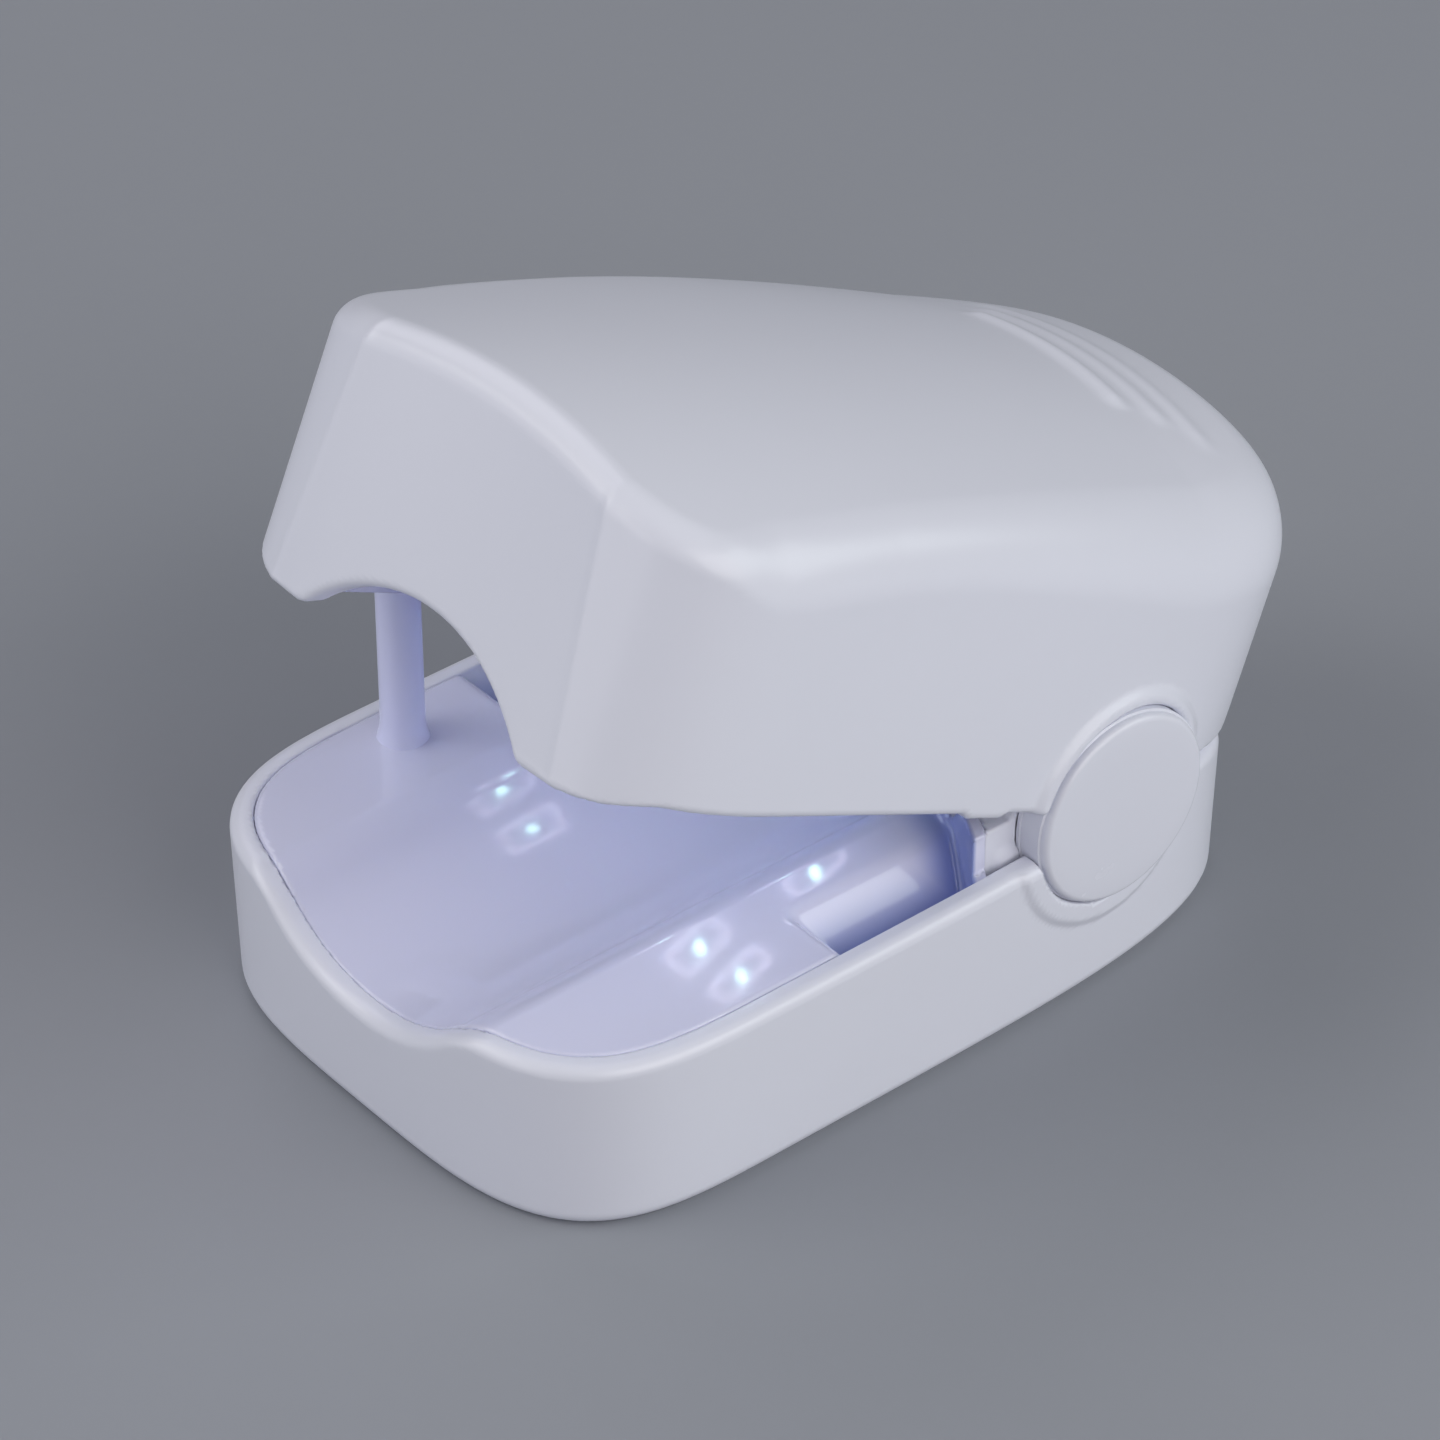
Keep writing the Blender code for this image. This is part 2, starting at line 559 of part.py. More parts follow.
def lamp_panel():
    """Reflector sheet under the jaw, arched over the finger, with lamp windows and the post's slot."""
    flip = PANEL_Z + DECK_TOP_Z
    floor = flip - JAW_GROOVE_Z
    profile = [(x, flip - z) for x, z in groove_profile(DECK_TOP_Z, floor, PANEL_SHEET, 22.0)]
    panel = prism("lamp_panel", profile, -20.0, PANEL_TONGUE[1], GLOSS, JAW, axis="Y")
    inset = JAW_WALL + 0.75 + GAP
    plan = prism("panel_plan", oval(inset, JAW_HALF_WIDTH, JAW_FRONT_REACH - 0.8, JAW_REAR_REACH),
                 10.0, 30.0, None, JAW)
    combine(panel, plan, "INTERSECT")
    for side in (-1, 1):
        low = (min(side * PANEL_TONGUE[0], side * 25.0), PANEL_BACK_Y, 10.0)
        high = (max(side * PANEL_TONGUE[0], side * 25.0), 30.0, 30.0)
        cut(panel, block(f"panel_corner_trim_{side}", low, high, body=JAW))
    slot = [(POST.x + u, -3.6 + v) for u, v in rounded_rectangle(4.2, 8.0, 2.0)]
    cut(panel, prism("post_slot_cutter", slot, 10.0, 20.0, None, JAW))
    for number, (x, y) in enumerate(LAMPS, 1):
        hole = [(x + u, y + v) for u, v in rounded_rectangle(WINDOW[0] + 2 * GAP, WINDOW[1] + 2 * GAP, 1.1)]
        cut(panel, prism(f"window_cutter_{number}", hole, 10.0, 22.0, None, JAW))
    holes = bmesh.new()
    recesses = bmesh.new()
    for x, y in PANEL_SCREWS:
        add_cylinder(holes, (x, y, 14.0), SCREW_SHANK + GAP, 6.0, "Z", 16)
        add_cylinder(recesses, (x, y, PANEL_Z - 0.1), SCREW_HEAD + GAP, 2.0, "Z", 24)
    return cut(panel, place("panel_hole_cutter", holes, None, JAW),
               place("panel_recess_cutter", recesses, None, JAW))


def lamps():
    """Lamp board with one lamp and one clear window for each place."""
    block("lamp_board", (-8.0, 1.5, LAMP_BOARD_Z), (8.0, 18.0, LAMP_BOARD_Z + 1.0), BOARD, JAW)
    for number, (x, y) in enumerate(LAMPS, 1):
        top = LAMP_BOARD_Z - GAP
        block(f"lamp_{number}", (x - 1.0, y - 1.0, top - 0.7), (x + 1.0, y + 1.0, top), LAMP, JAW)
        low = groove_height(abs(x) + WINDOW[0] / 2) + 0.05
        outline = [(x + u, y + v) for u, v in rounded_rectangle(WINDOW[0], WINDOW[1], 0.9)]
        prism(f"lamp_window_{number}", outline, low, low + 1.0, CLEAR, JAW)


def jaw_lead():
    """The jaw's half of the lamp lead, from the hinge pin to the back of the lamp board."""
    route = ((4.0, 30.9, 15.9), (4.0, 30.6, 18.2), (4.0, 27.5, 20.6), (4.0, 22.5, 20.6), (4.0, 18.5, 20.2))
    wire("lamp_lead_jaw", route, 0.6, WIRE_GREY, JAW)


def build():
    lower_housing()
    finger_deck()
    guide_post()
    hinge_pieces()
    screws("deck_screw", DECK_SCREWS, 0.1, 4.0, STEEL)
    base_electronics()
    screws("board_screw", ((-10.5, 24.5), (10.5, 24.5)), 2.1, 3.0, STEEL)
    base_leads()
    upper_housing()
    lamp_panel()
    lamps()
    screws("panel_screw", PANEL_SCREWS, PANEL_Z + 0.1, 4.4, STEEL, JAW)
    jaw_lead()


build()
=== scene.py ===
"""Looks of the clip-on light sanitizer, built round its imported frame.

The moulded shells are drawn as implicit solids: a field says how far a point lies outside the solid, in
millimetres, edges are rounded by the way fields are combined, and mesh_from_field skins the surface.
Jaw pieces are drawn with the jaw closed, and swung open about the hinge to the rest pose.
"""
import math

import bmesh
import bpy
import numpy as np
from mathutils import Matrix, Vector


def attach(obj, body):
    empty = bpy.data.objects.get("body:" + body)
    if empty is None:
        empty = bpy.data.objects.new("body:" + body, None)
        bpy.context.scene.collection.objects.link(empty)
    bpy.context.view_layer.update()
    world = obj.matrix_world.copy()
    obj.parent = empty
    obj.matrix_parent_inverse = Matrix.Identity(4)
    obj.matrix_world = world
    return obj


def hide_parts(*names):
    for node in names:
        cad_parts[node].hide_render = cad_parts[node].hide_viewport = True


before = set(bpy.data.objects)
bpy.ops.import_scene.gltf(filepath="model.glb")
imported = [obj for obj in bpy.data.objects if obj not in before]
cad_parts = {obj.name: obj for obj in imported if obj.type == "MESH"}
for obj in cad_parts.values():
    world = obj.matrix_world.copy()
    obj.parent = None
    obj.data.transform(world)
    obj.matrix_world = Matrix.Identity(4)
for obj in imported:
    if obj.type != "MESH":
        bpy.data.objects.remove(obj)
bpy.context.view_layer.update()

MM = 0.001

# ------------------------------------------------------------------ driving dimensions, millimetres

CAMERA_AZIMUTH, CAMERA_ELEVATION = math.radians(50.165), math.radians(36.577)
CAMERA_TARGET, CAMERA_DISTANCE = (-2.65, 13.5, 14.4), 382.79
CAMERA_SENSOR, CAMERA_LENS = 36.0, 146.15

HINGE_Y, HINGE_Z = 27.5, 14.14
PIN_BORE = 1.8
JAW_OPEN = math.radians(25.5)
SWING = (Matrix.Translation((0, HINGE_Y * MM, HINGE_Z * MM)) @ Matrix.Rotation(-JAW_OPEN, 4, "X")
         @ Matrix.Translation((0, -HINGE_Y * MM, -HINGE_Z * MM)))
CAP_RADIUS, CAP_X = 6.86, 19.9
CUP_RADIUS, BASE_CUP_FLOOR, JAW_CUP_FLOOR = 7.06, 18.45, 16.3    # recess for each cap
DRUM_RADIUS, DRUM_SIDES = 7.6, (15.8, 18.5)    # the base's drum, seen behind the open jaw
KNUCKLE_RADIUS, KNUCKLE_SIDES = 5.6, (12.7, 14.8)    # the jaw's knuckle, inside it
BASE_COLLAR, BASE_COLLAR_RISE = (9.0, 8.2), 0.28    # raised ring round each cap: radii where it fades
JAW_COLLAR, JAW_COLLAR_RISE = (8.5, 7.6), 0.45      # out and is full, and its height
COLLAR_SIDES = (14, 18)                    # it sets in between these distances from the middle

BASE_HALF, BASE_FRONT, BASE_REAR = 21.0, 18.8, 44.05
FRONT_POWER, REAR_POWER = 3.63, 4.72
RIM_Z = 12.88
WALL = 1.6
DRAFT = 0.28
GROOVE_RADIUS = 14.0
DIP_Z = 22.7                               # axis height of the deck's groove
DECK_INSET = 1.63                          # from the tub's outline to the deck's edge
DECK_Z, DECK_UNDERSIDE = 12.9, 7.3
POCKET_FRONT, POCKET_FLOOR = 4.9, 8.6      # the pocket behind each shoulder
POCKET_SIDES = (12.6, 18.6)                # its floor slopes down between these
STOP_RADIUS, STOP_Y, STOP_WALL = 37.25, -15.6, 1.0    # the curved fingertip stop, about an axis at STOP_Y
STOP_TOP = (13.3, 15.45)                   # its height at the middle and in front of the cheeks
CHEEK_HALF = 18.6
REAR_SLOPE, REAR_SLOPE_Y = math.radians(15.0), 34.3    # the base's rear rim falls away behind this
CHEEK_BOX = ((15.6, 15.0, 1.0), (CHEEK_HALF - 0.05, 20.6, 15.4))
HEEL_BOX = ((16.2, 19.0, 1.0), (CHEEK_HALF, 21.4, 12.9))
SEAM_OVERLAP = 0.15                        # the cheeks reach into the deck's stop, to hide the seam
PORT_Z, PORT_HALF, PORT_RADIUS = 6.1, 2.9, 1.95    # the charging port, a slot with round ends
BUTTON_X, BUTTON_HOLE = -9.5, 2.9          # the button's round hole, at the port's height
REAR_WALL_Y = 38.0                         # both holes are cut behind this
BASE_SCREWS = ((-14.8, -9.6), (14.8, -9.6), (-13.4, 11.0), (13.4, 11.0))
SCREW_BORES = ((2.1, 1.0, 0.25), (1.05, 3.0, 0.05))    # radius, depth and edge rounding

JAW_HALF, JAW_FRONT, JAW_REAR = 20.75, 18.25, 44.45
FRONT_SWELL = 0.65                         # the front wall reaches this much farther near the top
SIDE_LEAN, REAR_LEAN, REAR_LEAN_Z = 0.045, 0.04, 19.0    # slopes inward, the rear's from a height up
JAW_POWER = 4.1
JAW_RIM_Z = 13.2
JAW_WALL = 1.8
JAW_ARCH_Z = 3.2                           # axis height of the jaw's arch
CROWN_Y, CROWN_Z = 36.0, 37.0              # the crown's highest place
CROWN_RUN, CROWN_DROP = 51.0, 4.0          # it falls this much over this run toward the mouth
DISH_DEPTH, CREASE_RIDGE = 0.95, 0.07      # the front wall is dished, with a slight ridge on each side
CREASE_X, CREASE_Z, CREASE_LEAN = 13.77, 14.28, 0.126    # where the ridges stand at one height
REAR_CUT_Y, REAR_CUT_Z = 34.03, 16.25      # where the closed jaw's rear rim starts to slope up
EDGE_DEEP, EDGE_HIGH = (3.6, 1.5), (3.5, 1.3)    # the jaw's top edge: rounding, and how much the rear adds
EDGE_FRONT = 1.75                          # and how much smaller it is at the front
PANEL_Z, PANEL_SHEET = 13.5, 1.6           # the reflector under the jaw: flat sides and an arched roof
ROOF_RADIUS, PANEL_INSET = 14.3, 0.9       # it ends this far inside the jaw's wall
TONGUE_HALF, TONGUE_Y = 9.4, (15.2, 18.4)    # at its rear a tongue reaches from the first to the second
SLOT_RADIUS, SLOT_HALF, SLOT_SHIFT = 2.0, 1.8, 1.0    # the slot that takes the post
POST_X, POST_Y, POST_RADIUS = -16.3, -2.2, 1.5    # the guide post on the left shoulder
POST_FOOT, POST_TOP = 2.2, 26.5
THUMB_RIDGES = ((30.0, 7.9, 0.36), (32.7, 9.7, 0.22), (35.0, 12.2, 0.18))    # middle, half width, height
RIDGE_BLUR, RIDGE_BEND = 0.85, 0.4         # half thickness, and how far the ends bend to the front
LAMPS = ((-4.8, 5.8), (0.0, 5.8), (4.8, 5.8), (-2.6, 14.6), (2.6, 14.6))
LAMP_OPENING, LAMP_CORNER = (1.75, 2.8), 0.8
LENS_RISE, LENS_HALF = 0.4, 0.22           # each lens stands above the roof's lower face, half thickness
CHIP_RADIUS, CHIP_HALF, CHIP_RISE = 0.36, 0.35, 0.5
LAMP_FRAME, FRAME_CORNER = (1.25, 2.0), 0.45    # the glowing frame round each chip, half sizes
FRAME_RADIUS, FRAME_SIDES = 0.14, 10       # section of the bead that makes the frame

FINE, LENS_CELL = 0.3, 0.2                 # grid cells of the shells and the lamp lenses

BROAD_SCALE = 55.0                         # noise that varies a material's tint
BUMP_DEPTH = 0.00004                       # metres
SHADE_RUN = 3.4                             # the deck's painted shade starts this far before the stop
SHADE_SIDES = (11.5, 14.0)                  # and in the pockets it sets in between these


# ------------------------------------------------------------------ camera

def make_camera():
    level = math.cos(CAMERA_ELEVATION)
    back = Vector((math.sin(CAMERA_AZIMUTH) * level, -math.cos(CAMERA_AZIMUTH) * level,
                   math.sin(CAMERA_ELEVATION)))
    right = Vector((math.cos(CAMERA_AZIMUTH), math.sin(CAMERA_AZIMUTH), 0.0))
    up = back.cross(right)
    place = Vector(CAMERA_TARGET) * MM + back * CAMERA_DISTANCE * MM
    optics = bpy.data.cameras.new("camera")
    optics.sensor_width = CAMERA_SENSOR
    optics.lens = CAMERA_LENS
    optics.clip_start = 0.01
    camera = bpy.data.objects.new("camera", optics)
    bpy.context.scene.collection.objects.link(camera)
    camera.matrix_world = Matrix(((right.x, up.x, back.x, place.x), (right.y, up.y, back.y, place.y),
                                  (right.z, up.z, back.z, place.z), (0, 0, 0, 1)))
    bpy.context.scene.camera = camera


# ------------------------------------------------------------------ fields

def both(a, b, radius):
    """The overlap of two solids, with their shared edge rounded."""
    reach = np.hypot(np.maximum(a + radius, 0), np.maximum(b + radius, 0))
    return np.minimum(np.maximum(a, b), -radius) + reach


def either(a, b, radius):
    """The union of two solids, with a fillet where they meet."""
    return -both(-a, -b, radius)


def without(a, b, radius):
    """The first solid with the second taken away, and the edge between them rounded."""
    return both(a, -b, radius)


def ramp(start, end, value):
    """Smooth step from 0 at start to 1 at end."""
    t = np.clip((value - start) / (end - start), 0, 1)
    return t * t * (3 - 2 * t)


def slab(value, low, high):
    return np.abs(value - (low + high) / 2) - (high - low) / 2


def box(x, y, z, low, high, radius):
    """A box with rounded edges."""
    sides = [slab(value, a, b) + radius for value, a, b in zip((x, y, z), low, high)]
    outside = np.sqrt(sum(np.maximum(side, 0) ** 2 for side in sides))
    return outside + np.minimum(np.maximum(np.maximum(sides[0], sides[1]), sides[2]), 0) - radius


def oval(x, y, half, front, rear, front_power):
    """Distance outside the rounded oval that both housings share, with a squarer rear."""
    behind = y > 0
    reach = np.where(behind, rear, front)
    power = np.where(behind, REAR_POWER, front_power)
    u, v = np.abs(x) / half, np.abs(y) / reach
    size = np.maximum(u ** power + v ** power, 1e-4) ** (1 / power)
    slope = size ** (1 - power) * np.hypot(u ** (power - 1) / half, v ** (power - 1) / reach)
    return (size - 1) / slope


def base_oval(x, y):
    return oval(x, y, BASE_HALF, BASE_FRONT, BASE_REAR, FRONT_POWER)


def from_hinge(y, z):
    return np.hypot(y - HINGE_Y, z - HINGE_Z)


def tub_walls(x, y, z):
    """Drafted walls and a floor, with a finger dip in the front rim and a sloped rear rim."""
    collar = BASE_COLLAR_RISE * ramp(*BASE_COLLAR, from_hinge(y, z)) * ramp(*COLLAR_SIDES, np.abs(x))
    wall = base_oval(x, y) + DRAFT * (1 - z / RIM_Z)
    bowl = both(z - RIM_Z, GROOVE_RADIUS - np.hypot(x, z - DIP_Z), 1.6)
    top = np.where(y < -6, bowl, z - RIM_Z)
    fall = (z - RIM_Z) * math.cos(REAR_SLOPE) + (y - REAR_SLOPE_Y) * math.sin(REAR_SLOPE)
    body = both(wall - collar, -z, 1.1)
    body = both(body, both(top, fall, 1.5), 0.9)
    cavity = both(wall + WALL, WALL - z, 0.8)
    return without(body, cavity, 0.15)


def cheeks(x, y, z):
    """A cheek in front of each hinge drum, cut to the deck's curved stop, with a low heel behind it."""
    side = np.abs(x)
    cheek = box(side, y, z, *CHEEK_BOX, 0.2)
    stop = STOP_RADIUS + STOP_WALL - SEAM_OVERLAP - np.hypot(x, y - STOP_Y)
    heel = box(side, y, z, *HEEL_BOX, 0.25)
    return either(both(cheek, stop, 0.02), heel, 1.0)


def drums(x, y, z):
    """The drums that carry the hinge pin, each on a pedestal."""
    side = np.abs(x)
    drum = np.maximum(from_hinge(y, z) - DRUM_RADIUS, slab(side, *DRUM_SIDES))
    pedestal = box(side, y, z, (15.9, HINGE_Y - 7, 1.0), (18.2, HINGE_Y + 7, HINGE_Z - 0.5), 0.2)
    return np.minimum(drum, pedestal)


def rear_openings(x, y, z):
    """The charging port and the button's hole."""
    port = np.hypot(np.maximum(np.abs(x) - PORT_HALF, 0), z - PORT_Z) - PORT_RADIUS
    button = np.hypot(x - BUTTON_X, z - PORT_Z) - BUTTON_HOLE
    return np.maximum(np.minimum(port, button), REAR_WALL_Y - y)


def tub(x, y, z):
    """Lower housing: tub, cheeks and drums, cut for the caps, the pin, the port, the button, the screws."""
    hub = from_hinge(y, z)
    body = either(tub_walls(x, y, z), cheeks(x, y, z), 0.4)
    body = either(body, drums(x, y, z), 0.3)
    body = without(body, np.maximum(hub - CUP_RADIUS, BASE_CUP_FLOOR - np.abs(x)), 0.12)
    body = without(body, hub - PIN_BORE, 0.2)
    body = without(body, rear_openings(x, y, z), 0.35)
    for hole_x, hole_y in BASE_SCREWS:
        reach = np.hypot(x - hole_x, y - hole_y)
        for radius, depth, rounding in SCREW_BORES:
            body = without(body, np.maximum(reach - radius, z - depth), rounding)
    return body


def deck_pocket(side, y, z):
    """The pocket behind each shoulder: a raked front wall, and a floor that slopes down to the side."""
    start = DECK_Z + 0.9
    floor = start - (start - POCKET_FLOOR) * ramp(*POCKET_SIDES, side)
    front = (POCKET_FRONT - y) * 0.88 + 0.48 * (DECK_Z - z)
    return both(front, (floor - z) * 0.85, 0.6)


def deck(x, y, z):
    """Gloss plate: shoulders, a long finger groove, a pocket behind each shoulder, the fingertip stop."""
    side = np.abs(x)
    from_axis = np.hypot(x, y - STOP_Y)
    bed = both(z - DECK_Z, GROOVE_RADIUS - np.hypot(x, z - DIP_Z), 1.1)
    bed = without(bed, deck_pocket(side, y, z), 0.5)
    rise = STOP_TOP[0] + (STOP_TOP[1] - STOP_TOP[0]) * ramp(13.5, 16.0, side)
    stop = both(STOP_RADIUS - from_axis, z - rise, 0.2)
    plate = both(either(bed, stop, 0.8), from_axis - STOP_RADIUS - STOP_WALL, 0.02)
    plate = both(plate, base_oval(x, y) + DECK_INSET, 0.2)
    ledge = np.maximum(CHEEK_HALF - side, DECK_Z - 0.4 - z)
    plate = without(plate, np.maximum(ledge, 14.0 - y), 0.15)
    return both(plate, DECK_UNDERSIDE - z, 0.3)


def jaw_top(x, y):
    """Height of the closed jaw's crown, with three soft thumb ridges across the fall at its rear."""
    ridge = CROWN_Z - CROWN_DROP * (np.maximum(CROWN_Y - y, 0) / CROWN_RUN) ** 2.2
    sag = 2.4 + 1.1 * np.clip(y / 30.0, 0, 1) ** 1.5
    height = ridge - sag * (x / 17.0) ** 2
    for middle, half_width, relief in THUMB_RIDGES:
        along = y - middle + RIDGE_BEND * (x / half_width) ** 2
        ends = ramp(1.0, 0.8, np.abs(x) / half_width)
        height = height + relief * np.exp(-(along / RIDGE_BLUR) ** 2) * ends
    return height


def jaw_sides(x, y, z):
    """Distance outside the jaw's walls. The sides and the rear lean in, and the front is dished."""
    lean = SIDE_LEAN * (z - JAW_RIM_Z) * np.clip(1 + y / 18.9, 0, 1)
    front = JAW_FRONT + FRONT_SWELL * np.clip((z - JAW_RIM_Z) / 16.0, 0, 1.2)
    rear = JAW_REAR - REAR_LEAN * np.maximum(z - REAR_LEAN_Z, 0)
    crease = CREASE_X - CREASE_LEAN * (z - CREASE_Z)
    across = (x / crease) ** 2
    hollow = 1 - 0.6 * across - 0.4 * across ** 2
    dish = DISH_DEPTH * (hollow + np.hypot(hollow, 0.05)) / 2
    ridge = CREASE_RIDGE * np.exp(-((np.abs(x) - crease) / 0.45) ** 2)
    dish = (dish - ridge) * np.clip(-y / 12.0, 0, 1)
    return oval(x, y - dish, JAW_HALF - lean, front, rear, JAW_POWER)


def jaw_skin(x, y, z, inset):
    """The jaw's outer form, or its inner form at an inset. Its top edge is rounded least at the front
    and most at the rear."""
    sides = jaw_sides(x, y, z) + inset
    roof = (z - jaw_top(x, y)) * 0.97 + inset
    less = EDGE_FRONT * ramp(-9.5, -15.0, y) + 0.6 * inset
    rear = ramp(2.0, 36.0, y)
    deep = EDGE_DEEP[0] + EDGE_DEEP[1] * rear - less
    high = EDGE_HIGH[0] + EDGE_HIGH[1] * rear - less
    reach = np.hypot(np.maximum(sides / deep + 1, 0), np.maximum(roof / high + 1, 0)) - 1
    inner = np.maximum(sides / deep, roof / high)
    return np.where(inner < -1, inner, reach) * np.minimum(deep, high)


def jaw_rim(y):
    """Height of the closed jaw's rim: it drops to a foot at the mouth and to a small tab near the hinge."""
    foot = ramp(-12.5, -17.5, y)
    tab = ramp(17.0, 16.2, y) * ramp(12.6, 13.4, y)
    return JAW_RIM_Z + 0.35 - 1.3 * foot - 0.35 * tab


def knuckles(x, y, z):
    """The jaw's knuckles round the hinge pin, each hung from a web."""
    side = np.abs(x)
    knuckle = np.maximum(from_hinge(y, z) - KNUCKLE_RADIUS, slab(side, *KNUCKLE_SIDES))
    web = box(side, y, z, (12.8, HINGE_Y - 4.6, HINGE_Z), (14.7, HINGE_Y + 4.6, 33.5), 0.2)
    return np.minimum(knuckle, web)


def jaw_shell(x, y, z):
    """Upper housing: crowned shell with a finger arch, feet at its mouth, collars and knuckles."""
    side = np.abs(x)
    hub = from_hinge(y, z)
    collar = JAW_COLLAR_RISE * ramp(*JAW_COLLAR, hub) * ramp(*COLLAR_SIDES, side)
    body = both(jaw_skin(x, y, z, 0.0) - collar, jaw_rim(y) - z, 0.55)
    arch = np.maximum(np.hypot(x, z - JAW_ARCH_Z) - GROOVE_RADIUS, y + 9.0)
    body = without(body, arch, 0.5)
    body = without(body, np.maximum(jaw_skin(x, y, z, JAW_WALL), 12.0 - z), 0.35)
    tilt = JAW_OPEN - REAR_SLOPE
    below = (z - REAR_CUT_Z) * math.cos(tilt) - (y - REAR_CUT_Y) * math.sin(tilt)
    body = without(body, np.maximum(below, REAR_CUT_Y - y), 0.5)
    body = without(body, np.maximum(hub - CUP_RADIUS, JAW_CUP_FLOOR - side), 0.35)
    body = either(body, knuckles(x, y, z), 0.3)
    return without(body, hub - PIN_BORE, 0.2)


def panel(x, y, z):
    """Reflector under the jaw: arched over the finger, with lamp openings and a slot for the post."""
    edge = oval(x, y, JAW_HALF, JAW_FRONT - 0.15, JAW_REAR, JAW_POWER) + JAW_WALL + PANEL_INSET
    arch = np.hypot(x, z - JAW_ARCH_Z)
    sheet = np.maximum(np.maximum(PANEL_Z - z, z - PANEL_Z - PANEL_SHEET), ROOF_RADIUS - arch)
    roof = np.maximum(np.maximum(ROOF_RADIUS - arch, arch - ROOF_RADIUS - PANEL_SHEET), PANEL_Z - z)
    plate = both(np.minimum(sheet, roof), edge, 0.3)
    for lamp_x, lamp_y in LAMPS:
        plate = without(plate, lamp_opening(x - lamp_x, y - lamp_y), 0.2)
    tongue = np.maximum(np.minimum(np.abs(x) - TONGUE_HALF, y - TONGUE_Y[0]), y - TONGUE_Y[1])
    slot = np.hypot(x - POST_X, np.maximum(np.abs(y - POST_Y + SLOT_SHIFT) - SLOT_HALF, 0)) - SLOT_RADIUS
    return without(both(plate, tongue, 0.3), slot, 0.3)


def lamp_opening(u, v):
    """Distance outside a lamp's rounded rectangle, from its middle."""
    u, v = np.abs(u) - LAMP_OPENING[0] + LAMP_CORNER, np.abs(v) - LAMP_OPENING[1] + LAMP_CORNER
    return np.hypot(np.maximum(u, 0), np.maximum(v, 0)) + np.minimum(np.maximum(u, v), 0) - LAMP_CORNER


# ------------------------------------------------------------------ from a field to a mesh

def cell_points(values, cells):
    """In each of these cells, the middle of the places where the surface crosses its edges."""
    i, j, k = cells
    total = np.zeros((len(i), 3))
    hits = np.zeros(len(i))
    corners = [(a, b, c) for a in (0, 1) for b in (0, 1) for c in (0, 1)]
    for a in corners:
        for b in corners:
            if b <= a or sum(p != q for p, q in zip(a, b)) != 1:
                continue
            va = values[i + a[0], j + a[1], k + a[2]]
            vb = values[i + b[0], j + b[1], k + b[2]]
            crossed = (va < 0) != (vb < 0)
            t = np.where(crossed, va / np.where(crossed, va - vb, 1), 0)
            for axis in range(3):
                total[:, axis] += np.where(crossed, a[axis] + t * (b[axis] - a[axis]), 0)
            hits += crossed
    return np.stack([i, j, k], 1) + total / hits[:, None]


def edge_quads(inside, number, axis):
    """A quad round each grid edge along an axis that the surface crosses, facing outward."""
    near = [slice(1, -1)] * 3
    near[axis] = slice(0, -1)
    far = list(near)
    far[axis] = slice(1, None)
    starts_inside = inside[tuple(near)]
    crossed = np.nonzero(starts_inside != inside[tuple(far)])
    node = [index + (0 if n == axis else 1) for n, index in enumerate(crossed)]
    u, v = (axis + 1) % 3, (axis + 2) % 3
    ring = []
    for du, dv in ((-1, -1), (0, -1), (0, 0), (-1, 0)):
        at = [index.copy() for index in node]
        at[u] += du
        at[v] += dv
        ring.append(number[at[0], at[1], at[2]])
    ring = np.stack(ring, 1)
    outward = starts_inside[crossed]
    ring[~outward] = ring[~outward][:, ::-1]
    return ring


def surface_nets(values, origin, cell):
    """One vertex in each grid cell that the surface crosses, a quad across each crossed grid edge."""
    inside = values < 0
    counts = sum(inside[i:i - 1 or None, j:j - 1 or None, k:k - 1 or None].astype(np.int8)
                 for i in (0, 1) for j in (0, 1) for k in (0, 1))
    active = (counts > 0) & (counts < 8)
    number = np.full(counts.shape, -1, np.int64)
    number[active] = np.arange(active.sum())
    vertices = cell_points(values, np.nonzero(active)) * cell + origin
    return vertices, np.concatenate([edge_quads(inside, number, axis) for axis in range(3)])


def slope_of(field, points, step=0.01):
    """Gradient of a field at points."""
    slope = np.empty_like(points)
    for axis in range(3):
        shift = np.zeros(3)
        shift[axis] = step
        slope[:, axis] = (field(*(points + shift).T) - field(*(points - shift).T)) / (2 * step)
    return slope


def mesh_from_field(name, field, low, high, cell=FINE):
    """Skin a field's solid inside a box. Vertices are pulled onto the surface by Newton steps."""
    axes = [np.arange(a - 1.5 * cell, b + 2 * cell, cell) for a, b in zip(low, high)]
    x, y, z = np.meshgrid(*axes, indexing="ij", sparse=True)
    values = field(x, y, z) + 0 * (x + y + z)
    points, quads = surface_nets(values, np.array([axis[0] for axis in axes]), cell)
    for _ in range(4):
        slope = slope_of(field, points)
        steep = np.maximum((slope ** 2).sum(1), 0.05)
        move = -(field(*points.T) / steep)[:, None] * slope
        length = np.linalg.norm(move, axis=1, keepdims=True)
        points += move * np.minimum(1, 0.5 * cell / np.maximum(length, 1e-9))
    normals = slope_of(field, points)
    normals /= np.maximum(np.linalg.norm(normals, axis=1, keepdims=True), 1e-9)
    mesh = bpy.data.meshes.new(name)
    mesh.from_pydata(points * MM, [], quads)
    mesh.shade_smooth()
    mesh.normals_split_custom_set_from_vertices(normals)
    return mesh


# ------------------------------------------------------------------ materials

def new_material(name):
    material = bpy.data.materials.new(name)
    material.use_nodes = True
    return material, material.node_tree, material.node_tree.nodes["Principled BSDF"]


